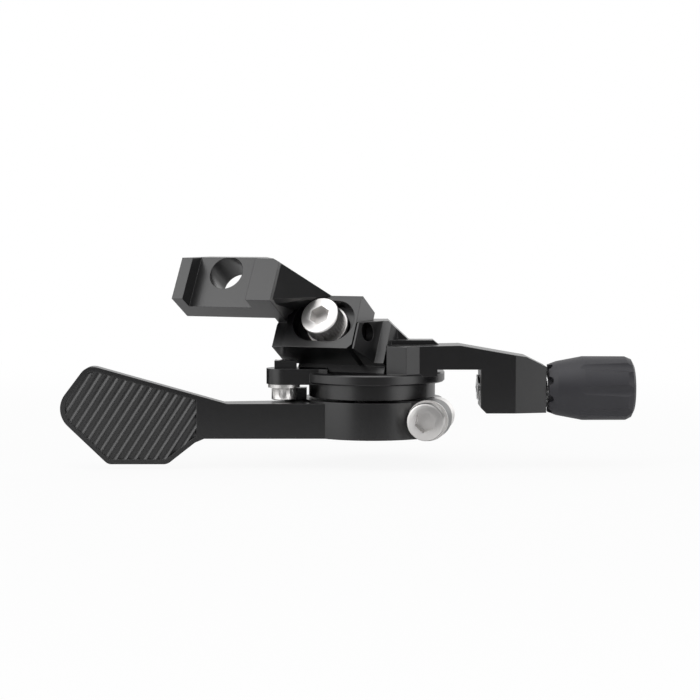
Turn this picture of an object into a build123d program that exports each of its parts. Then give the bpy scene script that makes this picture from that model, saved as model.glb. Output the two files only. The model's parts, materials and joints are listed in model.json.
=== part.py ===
from build123d import *
from math import asin, cos, degrees, radians, sin, sqrt, tan
import os

# All sizes are in millimetres and all angles in degrees.
# The origin is the middle of the perch bolt's hole, on the floor of the bracket's channel.
# X runs along the handlebar and Z runs up, along the lever's pivot.

# How the pieces lie to each other
bracket_lean = 30.0  # the bracket's front leans back from the upright by this much
body_turn = 23.0  # the body is turned about the pivot from the handlebar by this much
pivot_along = 27.2  # from the perch bolt to the pivot, along the bar
pivot_back = 17.6
pivot_drop = 21.7  # from the perch bolt down to the top of the body's flange

# Clearances
running_gap = 0.05  # between a shaft and its bore
play = 0.3  # between faces that pass each other
seat_gap = 0.02  # between a piece and the pocket that it is pressed or screwed into

# Perch block, the end of the bracket that bolts to the brake lever
perch_bolt_bore = 7.8
perch_left = 9.6
perch_right = 14.0
channel_left = 7.0
channel_right = 8.1
channel_depth = 3.6
perch_thickness = 8.0
perch_below = 8.4
perch_above = 3.3
perch_heel = 4.7
neck_front = 1.5  # how far in from the right end the sloping neck starts on the perch block, at the front
neck_back = 9.5

# Clamp block, the end of the bracket that holds the body
clamp_width = 16.5
clamp_height = 12.2
clamp_thickness = 8.4
clamp_along = 20.25
clamp_down = 6.5
clamp_back = 10.0
clamp_corner = 1.0
web_edge = 0.4
web_lip = 2.1
web_reach = 0.8
web_toe = 2.5
web_inset = 0.1
web_overlap = 0.5
bridge_width = 2.1  # the short bridge between the perch block's back and the clamp block's side
bridge_height = 6.2
bridge_overlap = 0.5
clamp_spine = 0.75  # how far the spine behind the block stands over its top
spine_setback = 0.6
lug_width = 2.3
lug_height = 6.6
lug_setback = 0.3
lug_corner = 1.4
slot_shift = 0.45
slot_rise = 0.45  # the slot's middle over the block's middle
slot_travel = 4.6
slot_width = 9.8
slot_depth = 3.4
through_slot_width = 5.5

# Clamp bolt and washer
clamp_bolt_size = 5.0
clamp_head = 8.5
clamp_head_height = 5.0
clamp_key = 4.0
clamp_key_depth = 2.6
head_chamfer = 0.35
edge_break = 0.3
clamp_grip = 7.0  # how far the bolt goes into the body
washer_width = 9.3
washer_thickness = 1.0

# Body: flange, boss and tab round the pivot
flange_radius = 16.1
flange_thickness = 2.3
boss_radius = 14.0
boss_height = 3.3
tab_along = -19.4
tab_across = -4.65
tab_radius = 3.85
tab_root = 9.8
tab_thickness = 3.4
tab_top = 0.8
stop_boss_top = 2.6
stop_boss_shift = 1.0
stop_boss_offset = 0.4
stop_boss_length = 4.8
stop_boss_width = 3.6
stop_touch = 0.05
stop_lug_length = 4.9
stop_lug_width = 3.0
stop_lug_height = 2.2
tab_blend = 0.6
axle_cover = 1.2

# Body: pad behind the clamp block, and the ear beside it
pad_margin = 1.0
body_height = 11.2
pad_back = 7.5
wedge_top = 4.5
wedge_slope = 5.5
body_sink = 0.5
ear_land = 0.4
ear_side = 1.6
ear_root = 6.0
ear_top_right = 3.6
ear_top_corner = 1.5
ear_back = 4.0
ear_front = 5.0
arm_root = 10.1
root_slope = 1.9
root_step = 0.6
root_point = 2.0
root_front = -13.8
root_front_left = 3.0
ear_bore_depth = 3.0
ear_bore_back = 3.05
ear_bore_drop = 0.6
ear_taper = 18.0  # the ear's outer wall flares by this much
ear_step = 7.0  # depth of the ear's wall before its flat shoulder
ear_shoulder = 5.1  # from the block to the end of the shoulder
ear_bore = 4.2

# Body: arm and barrel housing
arm_bottom = 1.0
arm_top = 6.2
arm_dip = 0.2
arm_front = -12.0
arm_depth = 9.6
arm_kink = 19.0
arm_overlap = 1.0
housing_left = 23.4
housing_right = 37.7
housing_bottom = -8.5
housing_shoulder = 1.5
housing_depth = 12.2
housing_back_top = 1.0
housing_back_corner = 2.5
arm_fall = 2.1
housing_corner = 1.2
housing_waist = 30.9
waist_land = 2.4
waist_fall = 0.4
housing_taper = 1.6
rear_pad_end = 13.3
rear_pad_height = 0.9
rear_pad_slope = 1.35  # how far the pad's right end runs down to the arm
rear_pad_depth = 5.0

# Lever
hub_radius = 15.5
hub_gap = 0.45
hub_height = 8.0
lever_front = -11.6
lever_arm_thickness = 5.0
paddle_thickness = 3.4
paddle_root = -36.5
paddle_overlap = 5.0
paddle_centre = -52.5
paddle_middle = -9.0
paddle_rim = 1.0
field_right = -38.1  # where the grooves end, beside the arm
groove_lean = 57.0
groove_pitch = 1.8
groove_count = 25
groove_curve = 1.15
groove_deep = 0.4
groove_reach = 60.0
hub_blend_back = 10.8
hub_blend_along = 11.6
hub_blend_side = 8.5
arm_blend_along = 20.0
arm_blend_width = 8.0
lever_arm_top = -6.45

# Bearing, a 10 x 19 x 5 size
bearing_bore = 10.0
bearing_outside = 19.0
bearing_width = 5.0
bearing_lip = 1.4
race_wall = 1.45
ball_size = 2.4
ball_count = 12
seal_thickness = 0.4
seal_inset = 0.15
spacer_thickness = 1.9
cage_wall = 0.8
cage_height = 3.2
circlip_grip = 0.5
circlip_inner = 8.4
circlip_thickness = 0.8
circlip_mouth = 3.0
cap_radius = 6.6
cap_thickness = 2.35
cap_recess = 1.45
axle_bolt_size = 4.0
axle_bolt_length = 7.0
axle_bolt_head = 8.0
axle_bolt_head_height = 1.4
axle_key = 2.5
axle_key_depth = 1.0

# Cable clamp in the lever
pinch_along = 11.1
pinch_front = -18.0
pinch_drop = 9.8
pinch_turn = 11.3
pinch_bolt_size = 5.0
pinch_head = 8.1
pinch_head_height = 3.5
pinch_lug = 5.0
pinch_washer_thickness = 0.8
pinch_washer_width = 8.8
pinch_key = 4.0
pinch_key_depth = 2.0
lug_radius = 4.4
collar_width = 7.8
collar_thickness = 3.5
nut_thickness = 4.2

# Stop screw under the tab
stop_size = 3.0
stop_head = 5.5
stop_head_height = 2.7
stop_key = 2.5
stop_key_depth = 1.2
stop_washer_width = 7.0
stop_washer_thickness = 0.8

# Barrel adjuster
barrel_size = 6.0
barrel_across = -6.0
barrel_drop = 3.5
barrel_poke = 0.5
cable_bore = 2.0
housing_socket = 5.1
socket_depth = 8.0
barrel_head = 8.0
barrel_head_length = 12.0
grip_left = 38.3
grip_neck = 10.4
grip_swell = 7.6
grip_length = 18.8
grip_width = 14.0
grip_corner = 1.8
grip_round = 0.6
grip_bulge_along = 1.9  # a point on the swelling left end, along the grip and over its neck
grip_bulge = 0.72
grip_wall = 1.0
grip_hole = 5.6
flute_count = 8
flute_radius = 2.0
flute_reach = 6.7  # from the barrel's axis to a flute's floor, half way along the grip
flute_tilt = 2.5
notch_radius = 0.95
notch_depth = 2.4

lean = radians(bracket_lean)
turn = radians(body_turn)
bracket_plane = Plane(origin=(0, 0, 0), x_dir=(1, 0, 0), z_dir=(0, -cos(lean), sin(lean)))
body_along = Vector(cos(turn), sin(turn), 0)
body_back = Vector(-sin(turn), cos(turn), 0)
pivot = Vector(pivot_along, pivot_back, -pivot_drop)
pivot_plane = Plane(origin=pivot, x_dir=body_along, z_dir=(0, 0, 1))
pivot_axis = Axis(pivot, (0, 0, 1))


def bracket_side(along):
    """The plane across the bar at a distance along it, with x up the bracket and y out of it."""
    return Plane(origin=(along, 0, 0), x_dir=bracket_plane.y_dir, z_dir=(1, 0, 0))


def body_front(back):
    """The upright plane at a distance behind the pivot, with x along the body, facing the front."""
    return Plane(origin=pivot + body_back * back, x_dir=body_along, z_dir=-body_back)


def level(height):
    """The flat plane at a height over the top of the flange, with x along the body."""
    return pivot_plane.offset(height)


def along_body(place):
    """The plane across the body at a place along it, facing the grip's end."""
    return Plane(origin=pivot_plane.from_local_coords(place), x_dir=body_back, z_dir=body_along)


def top_at(out):
    """How far up the bracket its level top is, at a distance out of the channel's floor."""
    return (perch_above - out * sin(lean)) / cos(lean)


# Bracket: perch block, web, clamp block and lug in one machined piece
block_top = clamp_height / 2 - clamp_down
block_bottom = -clamp_height / 2 - clamp_down
block_right = clamp_along + clamp_width / 2
block_left = clamp_along - clamp_width / 2
block_front = -clamp_back
block_back = block_front - clamp_thickness
slot_up = slot_rise - clamp_down
slot_along = clamp_along + slot_shift
slot_floor = block_front - slot_depth

web_left = perch_right - web_overlap
web_back = web_inset - perch_thickness
web_end_out = block_front - spine_setback - web_overlap
web_start = [
    (web_left, top_at(channel_depth), channel_depth - web_inset),
    (web_left, web_edge - perch_below, channel_depth - web_inset),
    (web_left, web_inset - perch_below, channel_depth - web_lip),
    (web_left, perch_thickness - perch_heel - perch_below + web_inset, web_back),
    (web_left, top_at(-perch_thickness), web_back),
]
web_end = [
    (clamp_along + web_reach, block_top + clamp_spine + web_inset, web_end_out),
    (block_left + web_toe, block_top - web_inset, web_end_out),
    (block_left + web_inset, block_top - web_inset, web_end_out),
    (block_left + web_inset, block_top + clamp_spine + web_inset, web_end_out),
]


def on_bracket(*place):
    """A point given along the bracket, up it and out of its channel's floor."""
    return bracket_plane.from_local_coords(place)


# The plane that cuts the perch block's right end and the web down to the clamp block's top
neck_start = on_bracket(perch_right - neck_front, top_at(channel_depth), channel_depth)
neck_rear = on_bracket(perch_right - neck_back, top_at(-perch_thickness), -perch_thickness)
neck_end = on_bracket(clamp_along + web_reach, block_top + clamp_spine, block_front - spine_setback)
neck_plane = Plane(
    origin=neck_start, x_dir=neck_end - neck_start, z_dir=(neck_end - neck_start).cross(neck_rear - neck_start)
)

with BuildPart() as perch_bracket:
    with BuildSketch(bracket_side(-perch_left)):
        with BuildLine():
            Polyline(
                (-perch_below, channel_depth),
                (top_at(channel_depth), channel_depth),
                (top_at(-perch_thickness), -perch_thickness),
                (perch_thickness - perch_heel - perch_below, -perch_thickness),
                (-perch_below, -perch_heel),
                close=True,
            )
        make_face()
    extrude(amount=perch_left + perch_right)
    with BuildSketch(bracket_plane):
        with Locations(((channel_right - channel_left) / 2, 0)):
            Rectangle(channel_right + channel_left, 4 * perch_below)
    extrude(amount=2 * channel_depth, mode=Mode.SUBTRACT)
    ConvexPolyhedron([on_bracket(*place) for place in web_start + web_end])
    with BuildSketch(neck_plane):
        Rectangle(4 * clamp_width, 4 * clamp_width)
    extrude(amount=2 * clamp_width, mode=Mode.SUBTRACT)
    with BuildSketch(bracket_plane.offset(block_front)) as block_face:
        with Locations((clamp_along, -clamp_down)):
            Rectangle(clamp_width, clamp_height)
        chamfer(block_face.vertices().group_by(Axis.Y)[0].sort_by(Axis.X)[-1], clamp_corner)
    extrude(amount=-clamp_thickness)
    with BuildSketch(bracket_plane.offset(block_front - spine_setback)):
        with Locations((clamp_along, block_top)):
            Rectangle(clamp_width, 2 * clamp_spine)
    extrude(amount=spine_setback - clamp_thickness)
    with BuildSketch(bracket_plane.offset(block_front - lug_setback)) as lug_face:
        with Locations((block_left - lug_width / 2, block_bottom + lug_height / 2)):
            Rectangle(lug_width, lug_height)
        fillet(lug_face.vertices().group_by(Axis.Y)[-1].sort_by(Axis.X)[0], lug_corner)
    extrude(amount=lug_setback - clamp_thickness)
    with BuildSketch(bracket_plane.offset(bridge_overlap - perch_thickness)):
        with Locations((block_left, block_top)):
            Rectangle(bridge_width, bridge_height, align=(Align.MAX, Align.MAX))
    extrude(amount=block_back + perch_thickness - bridge_overlap)
    with BuildSketch(bracket_plane.offset(slot_floor)):
        with Locations((slot_along, slot_up)):
            SlotOverall(slot_width + slot_travel, slot_width)
    extrude(amount=slot_depth, mode=Mode.SUBTRACT)
    with BuildSketch(bracket_plane.offset(slot_floor)):
        with Locations((slot_along, slot_up)):
            SlotOverall(through_slot_width + slot_travel, through_slot_width)
    extrude(amount=-clamp_thickness, mode=Mode.SUBTRACT)
    with BuildSketch(bracket_plane.offset(-2 * perch_thickness)):
        Circle(perch_bolt_bore / 2)
    extrude(amount=3 * perch_thickness, mode=Mode.SUBTRACT)


# Clamp bolt and its washer, in the middle of the slot
head_base = slot_floor + washer_thickness
head_top = head_base + clamp_head_height
bolt_at = (slot_along, slot_up)

with BuildPart() as clamp_washer:
    with BuildSketch(bracket_plane.offset(slot_floor)):
        with Locations(bolt_at):
            Circle(washer_width / 2)
            Circle(clamp_bolt_size / 2 + running_gap, mode=Mode.SUBTRACT)
    extrude(amount=washer_thickness)

with BuildPart() as clamp_bolt:
    with BuildSketch(bracket_plane.offset(head_base)):
        with Locations(bolt_at):
            Circle(clamp_head / 2)
    extrude(amount=clamp_head_height)
    chamfer(clamp_bolt.edges().group_by(Axis((0, 0, 0), bracket_plane.z_dir))[-1], head_chamfer)
    with BuildSketch(bracket_plane.offset(head_base)):
        with Locations(bolt_at):
            Circle(clamp_bolt_size / 2)
    extrude(amount=block_back - clamp_grip - head_base)
    with BuildSketch(bracket_plane.offset(head_top)):
        with Locations(bolt_at):
            RegularPolygon(clamp_key / 2, 6, major_radius=False)
    extrude(amount=-clamp_key_depth, mode=Mode.SUBTRACT)


# Body: flange, boss, tab, inclined pad, ear, arm and barrel housing in one machined piece
boss_bottom = -flange_thickness - boss_height
ear_left = block_right + play
ear_flare = ear_step * tan(radians(ear_taper))
ear_right = block_right + ear_shoulder
ear_plane = Plane(
    origin=bracket_plane.from_local_coords((0, block_bottom, 0)),
    x_dir=(1, 0, 0),
    z_dir=bracket_plane.y_dir,
)
ear_steps = [
    (ear_top_right + ear_top_corner, body_height - ear_top_corner),
    (arm_root - root_slope, arm_top + root_step),
    (arm_root, arm_top - arm_dip),
]
axle_top = -flange_thickness + axle_cover
clamp_thread_depth = clamp_grip + play
stop_bore_depth = tab_thickness + stop_boss_top


barrel_plane = along_body((0, barrel_across, -barrel_drop))
barrel_axis = Axis(barrel_plane.origin, body_along)
ear_tilt = radians(ear_taper)
ear_bore_normal = bracket_plane.x_dir * cos(ear_tilt) + bracket_plane.z_dir * sin(ear_tilt)
ear_bore_along = ear_left + ear_land + ear_bore_back * tan(ear_tilt)
ear_bore_at = (ear_bore_along, -clamp_down - ear_bore_drop, block_front - ear_bore_back)
ear_bore_plane = Plane(
    origin=bracket_plane.from_local_coords(ear_bore_at),
    x_dir=bracket_plane.y_dir,
    z_dir=ear_bore_normal,
)


def pad_at(height):
    """The pad's place behind the pivot at a height over the flange, with that height."""
    up = (height - pivot_drop - block_back * sin(lean)) / cos(lean)
    return (up * sin(lean) - block_back * cos(lean) - pivot_back, height)


with BuildPart() as main_body:
    # the wedge whose sloping front is the pad behind the clamp block
    with BuildSketch(
        Plane(origin=(block_left + pad_margin, pivot_back, -pivot_drop), x_dir=(0, 1, 0), z_dir=(1, 0, 0))
    ):
        with BuildLine():
            Polyline(
                pad_at(-body_sink),
                pad_at(body_height),
                (pad_at(body_height)[0] + wedge_top, body_height),
                (pad_back, body_height - wedge_slope),
                (pad_back, -body_sink),
                close=True,
            )
        make_face()
    extrude(amount=clamp_width + ear_shoulder - pad_margin)
    # the ear beside the clamp block, with its flared wall and flat shoulder
    with BuildSketch(ear_plane) as ear_section:
        with BuildLine():
            Polyline(
                (ear_left, -block_front),
                (ear_left + ear_land, -block_front),
                (ear_left + ear_land + ear_flare, -block_front + ear_step),
                (ear_right, -block_front + ear_step),
                (ear_right + ear_side, -block_back + ear_root),
                (ear_left, -block_back + ear_root),
                close=True,
            )
        make_face()
    extrude(amount=2 * clamp_height)
    # the ear's right side, which steps down to the arm
    with BuildSketch(body_front(ear_back)):
        with BuildLine():
            Polyline(
                (-ear_top_right, -body_sink),
                (-ear_top_right, body_height),
                (ear_top_right, body_height),
                *ear_steps,
                (arm_root, -body_sink),
                close=True,
            )
        make_face()
    extrude(amount=ear_back + ear_front)
    with BuildSketch(level(-body_sink)):
        with BuildLine():
            Polyline(
                (root_front_left, root_front + root_point),
                (arm_root - root_slope - root_point / 2, root_front),
                (arm_root, arm_front),
                (arm_root, ear_back),
                (root_front_left, ear_back),
                close=True,
            )
        make_face()
    extrude(amount=body_sink + arm_top - arm_dip)
    # the channel that the clamp block slides in
    with BuildSketch(bracket_plane.offset(block_back)):
        with Locations((ear_left, block_bottom - play)):
            Rectangle(3 * clamp_width, 3 * clamp_height, align=(Align.MAX, Align.MIN))
    extrude(amount=2 * clamp_back, mode=Mode.SUBTRACT)
    with BuildSketch(level(body_height)):
        Rectangle(8 * flange_radius, 8 * flange_radius)
    extrude(amount=4 * body_height, mode=Mode.SUBTRACT)
    with BuildSketch(level(-body_sink)):
        Rectangle(8 * flange_radius, 8 * flange_radius)
    extrude(amount=-4 * body_height, mode=Mode.SUBTRACT)
    with BuildSketch(body_front(2 * flange_radius)):
        with BuildLine():
            Polyline(
                (ear_top_right, body_height),
                *ear_steps,
                (arm_root, -2 * body_sink),
                (4 * flange_radius, -2 * body_sink),
                (4 * flange_radius, body_height),
                close=True,
            )
        make_face()
    extrude(amount=4 * flange_radius, mode=Mode.SUBTRACT)
    # the threaded hole in the ear's flared wall
    with BuildSketch(ear_bore_plane):
        Circle(ear_bore / 2)
    extrude(amount=-ear_bore_depth, mode=Mode.SUBTRACT)
    # the flange and the boss, turned about the pivot, and the tab
    with BuildSketch(body_front(0)):
        with BuildLine():
            Polyline(
                (0, 0),
                (flange_radius - edge_break, 0),
                (flange_radius, -edge_break),
                (flange_radius, edge_break - flange_thickness),
                (flange_radius - edge_break, -flange_thickness),
                (boss_radius, -flange_thickness),
                (boss_radius, boss_bottom),
                (0, boss_bottom),
                close=True,
            )
        make_face()
    revolve(axis=pivot_axis)
    with BuildSketch(level(tab_top)):
        with Locations((tab_along, tab_across)):
            Circle(tab_radius)
        with BuildLine():
            Polyline(
                (tab_along, tab_across - tab_radius),
                (tab_along + 2 * tab_radius, tab_across - tab_radius),
                (-tab_root, tab_across - tab_radius - tab_blend),
                (-tab_root, tab_across + tab_radius + tab_blend),
                (tab_along, tab_across + tab_radius),
                close=True,
            )
        make_face()
    extrude(amount=-tab_thickness)
    with BuildSketch(level(0)):
        with Locations((tab_along + stop_boss_offset, tab_across - stop_boss_shift)):
            Rectangle(stop_boss_length, stop_boss_width)
    extrude(amount=stop_boss_top)
    # the arm and the barrel housing
    with BuildSketch(body_front(arm_front + arm_depth)):
        with BuildLine():
            Polyline(
                (arm_root - arm_overlap, -body_sink),
                (arm_root - arm_overlap, arm_top - arm_dip),
                (arm_kink, arm_top),
                (housing_waist, arm_top - arm_fall),
                (housing_waist + waist_land, arm_top - arm_fall - waist_fall),
                (housing_right, housing_shoulder),
                (housing_right, housing_bottom + housing_corner),
                (housing_right - housing_corner, housing_bottom),
                (housing_left + housing_corner, housing_bottom),
                (housing_left, housing_bottom + housing_corner),
                (housing_left, arm_bottom),
                (boss_radius, arm_bottom),
                (boss_radius, -body_sink),
                close=True,
            )
        make_face()
    extrude(amount=arm_depth)
    # the housing's back, round the barrel's bore
    with BuildSketch(along_body((housing_left + housing_corner, arm_front, 0))) as housing_section:
        with Locations((housing_depth / 2, (housing_back_top + housing_bottom) / 2)):
            Rectangle(housing_depth, housing_back_top - housing_bottom)
        chamfer(housing_section.vertices().group_by(Axis.X)[-1], housing_back_corner)
    extrude(amount=housing_right - housing_left - housing_corner)
    # the raised pad behind the arm's root
    with BuildSketch(body_front(arm_front + arm_depth)):
        with BuildLine():
            Polyline(
                (0, arm_bottom),
                (0, arm_top + rear_pad_height),
                (rear_pad_end, arm_top + rear_pad_height),
                (rear_pad_end + rear_pad_slope, arm_top - arm_dip),
                (rear_pad_end + rear_pad_slope, arm_bottom),
                close=True,
            )
        make_face()
    extrude(amount=rear_pad_depth)
    with BuildSketch(level(housing_bottom)):
        for side, out in ((arm_front, -1), (arm_front + housing_depth, 1)):
            with BuildLine():
                Polyline(
                    (housing_waist, side),
                    (housing_right, side - out * housing_taper),
                    (housing_right, side + out * housing_taper),
                    (housing_waist, side + out * housing_taper),
                    close=True,
                )
            make_face()
    extrude(amount=-housing_bottom + body_height, mode=Mode.SUBTRACT)
    # bores for the axle, the clamp bolt, the stop screw and the barrel
    with BuildSketch(level(boss_bottom)):
        Circle(bearing_bore / 2 + seat_gap)
    extrude(amount=axle_top - boss_bottom, mode=Mode.SUBTRACT)
    with BuildSketch(bracket_plane.offset(block_back)):
        with Locations(bolt_at):
            Circle(clamp_bolt_size / 2 + seat_gap)
    extrude(amount=-clamp_thread_depth, mode=Mode.SUBTRACT)
    with BuildSketch(level(stop_boss_top)):
        with Locations((tab_along, tab_across)):
            Circle(stop_size / 2 + seat_gap)
    extrude(amount=-stop_bore_depth, mode=Mode.SUBTRACT)
    with BuildSketch(barrel_plane.offset(housing_left - play)):
        Circle(barrel_size / 2 + running_gap)
    extrude(amount=housing_right - housing_left + 2 * play, mode=Mode.SUBTRACT)


# Stop screw and its washer, under the tab
tab_bottom = tab_top - tab_thickness
stop_at = (tab_along, tab_across)
stop_head_top = tab_bottom - stop_washer_thickness

with BuildPart() as stop_washer:
    with BuildSketch(level(tab_bottom)):
        with Locations(stop_at):
            Circle(stop_washer_width / 2)
            Circle(stop_size / 2 + running_gap, mode=Mode.SUBTRACT)
    extrude(amount=-stop_washer_thickness)

with BuildPart() as stop_screw:
    with BuildSketch(level(stop_head_top)):
        with Locations(stop_at):
            Circle(stop_head / 2)
    extrude(amount=-stop_head_height)
    chamfer(stop_screw.edges().group_by(Axis.Z)[0], head_chamfer)
    with BuildSketch(level(stop_head_top)):
        with Locations(stop_at):
            Circle(stop_size / 2)
    extrude(amount=stop_boss_top - stop_head_top)
    with BuildSketch(level(stop_head_top - stop_head_height)):
        with Locations(stop_at):
            RegularPolygon(stop_key / 2, 6, major_radius=False)
    extrude(amount=stop_key_depth, mode=Mode.SUBTRACT)


# Bearing stack: spacer, rings, balls, cage, seals, circlip, axle, cap and bolt
bearing_top = boss_bottom - spacer_thickness
bearing_bottom = bearing_top - bearing_width
bearing_middle = bearing_top - bearing_width / 2
pitch_radius = (bearing_bore + bearing_outside) / 4
inner_land = bearing_bore / 2 + race_wall
outer_land = bearing_outside / 2 - race_wall
groove_radius = ball_size / 2 + running_gap


def ring(outside, inside, top, thickness):
    """A flat ring about the pivot, reaching down from a height over the flange."""
    with BuildPart() as flat_ring:
        with BuildSketch(level(top)):
            Circle(outside)
            Circle(inside, mode=Mode.SUBTRACT)
        extrude(amount=-thickness)
    return flat_ring


bearing_spacer = ring(inner_land, bearing_bore / 2 + seat_gap, boss_bottom, spacer_thickness)
lower_seal_top = bearing_bottom + seal_inset + seal_thickness
bearing_seal_upper = ring(outer_land, inner_land + running_gap, bearing_top - seal_inset, seal_thickness)
bearing_seal_lower = ring(outer_land, inner_land + running_gap, lower_seal_top, seal_thickness)

with BuildPart() as bearing_inner_ring:
    add(ring(inner_land, bearing_bore / 2 + seat_gap, bearing_top, bearing_width).part)
    with Locations(level(bearing_middle)):
        Torus(pitch_radius, groove_radius, mode=Mode.SUBTRACT)

with BuildPart() as bearing_outer_ring:
    add(ring(bearing_outside / 2, outer_land, bearing_top, bearing_width).part)
    with Locations(level(bearing_middle)):
        Torus(pitch_radius, groove_radius, mode=Mode.SUBTRACT)

with BuildPart() as bearing_balls:
    with Locations(level(bearing_middle)):
        with PolarLocations(pitch_radius, ball_count):
            Sphere(ball_size / 2)

with BuildPart() as bearing_cage:
    cage_outside = pitch_radius + cage_wall / 2
    cage_inside = pitch_radius - cage_wall / 2
    add(ring(cage_outside, cage_inside, bearing_middle + cage_height / 2, cage_height).part)
    with Locations(level(bearing_middle)):
        with PolarLocations(pitch_radius, ball_count):
            Cylinder(ball_size / 2 + running_gap, ball_size, rotation=(0, 90, 0), mode=Mode.SUBTRACT)

with BuildPart() as bearing_circlip:
    add(ring(bearing_outside / 2 + circlip_grip, circlip_inner, bearing_bottom, circlip_thickness).part)
    with BuildSketch(level(bearing_bottom)):
        with Locations((0, bearing_outside / 2)):
            Rectangle(circlip_mouth, bearing_outside)
    extrude(amount=-circlip_thickness, mode=Mode.SUBTRACT)

with BuildPart() as pivot_axle:
    with BuildSketch(level(axle_top - running_gap)):
        Circle(bearing_bore / 2)
    extrude(amount=bearing_bottom + running_gap - axle_top + running_gap)
    with BuildSketch(level(bearing_bottom)):
        Circle(axle_bolt_size / 2 + seat_gap)
    extrude(amount=axle_bolt_length, mode=Mode.SUBTRACT)

with BuildPart() as axle_cap:
    add(ring(cap_radius, axle_bolt_size / 2 + running_gap, bearing_bottom, cap_thickness).part)
    chamfer(axle_cap.edges().group_by(Axis.Z)[0].sort_by(SortBy.LENGTH)[-1], edge_break)
    with BuildSketch(level(bearing_bottom - cap_thickness)):
        Circle(axle_bolt_head / 2 + running_gap)
    extrude(amount=cap_recess, mode=Mode.SUBTRACT)

axle_bolt_seat = bearing_bottom - cap_thickness + cap_recess
with BuildPart() as axle_bolt:
    with BuildSketch(level(axle_bolt_seat)):
        Circle(axle_bolt_head / 2)
    extrude(amount=-axle_bolt_head_height)
    fillet(axle_bolt.edges().group_by(Axis.Z)[0], edge_break)
    with BuildSketch(level(axle_bolt_seat)):
        Circle(axle_bolt_size / 2)
    extrude(amount=bearing_bottom - axle_bolt_seat + axle_bolt_length - play)
    with BuildSketch(level(axle_bolt_seat - axle_bolt_head_height)):
        RegularPolygon(axle_key / 2, 6, major_radius=False)
    extrude(amount=axle_key_depth, mode=Mode.SUBTRACT)


# Lever: hub, arm, paddle and pinch lug in one machined piece
hub_top = boss_bottom - hub_gap
hub_bottom = hub_top - hub_height
pinch_axis_dir = body_along * sin(radians(pinch_turn)) + body_back * cos(radians(pinch_turn))
pinch_head_face = pivot_plane.from_local_coords((pinch_along, pinch_front, -pinch_drop))


def pinch_plane(depth):
    """The plane across the pinch bolt at a depth behind its head's face, facing the front."""
    return Plane(origin=pinch_head_face + pinch_axis_dir * depth, x_dir=(0, 0, 1), z_dir=-pinch_axis_dir)


washer_front = pinch_head_height
lug_front = washer_front + pinch_washer_thickness
lug_back = lug_front + pinch_lug
collar_back = lug_back + play + collar_thickness
nut_back = collar_back + nut_thickness

arm_plan = [
    (paddle_root, lever_front),
    (0, lever_front),
    (0, hub_blend_back),
    (-hub_blend_along, hub_blend_side),
    (-arm_blend_along, lever_front + arm_blend_width),
    (paddle_root, lever_front + lever_arm_thickness),
]
# the paddle's corners, from where it leaves the arm's bottom, each with the radius that rounds it
paddle_corners = [
    ((paddle_root, hub_bottom), 0),
    ((paddle_root + paddle_overlap, lever_arm_top), 0),
    ((-61.7, 2.05), 3.2),
    ((-69.4, -8.1), 5.2),
    ((-57.4, -19.6), 2.0),
    ((-44.5, -19.6), 2.4),
    ((-38.5, -14.9), 0),
]


def paddle_shape():
    """The paddle's outline with its corners rounded."""
    with BuildSketch() as shape:
        with BuildLine():
            Polyline(*[place for place, radius in paddle_corners], close=True)
        make_face()
        for place, radius in paddle_corners:
            if radius > 0:
                fillet(shape.vertices().sort_by_distance(Vector(*place))[0], radius)
    return shape.sketch



# Round-bottomed grooves across the paddle's face, inside its flat rim
groove_tilt = radians(groove_lean)
groove_out = groove_curve - groove_deep
groove_middle = body_front(lever_front - groove_out).from_local_coords((paddle_centre, paddle_middle, 0))
groove_plane = Plane(
    origin=groove_middle,
    x_dir=body_along * cos(groove_tilt) + Vector(0, 0, sin(groove_tilt)),
    z_dir=-body_back,
)

with BuildPart() as groove_rods:
    with Locations(groove_plane):
        with GridLocations(1, groove_pitch, 1, groove_count):
            Cylinder(groove_curve, groove_reach, rotation=(0, 90, 0))

with BuildPart() as paddle_grooves:
    with BuildSketch(body_front(lever_front + groove_deep)):
        add(paddle_shape())
        offset(amount=-paddle_rim, mode=Mode.REPLACE)
        with Locations((field_right, paddle_middle)):
            Rectangle(groove_reach, groove_reach, align=(Align.MIN, Align.CENTER), mode=Mode.SUBTRACT)
    extrude(amount=2 * groove_deep)
    add(groove_rods.part, mode=Mode.INTERSECT)

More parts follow.
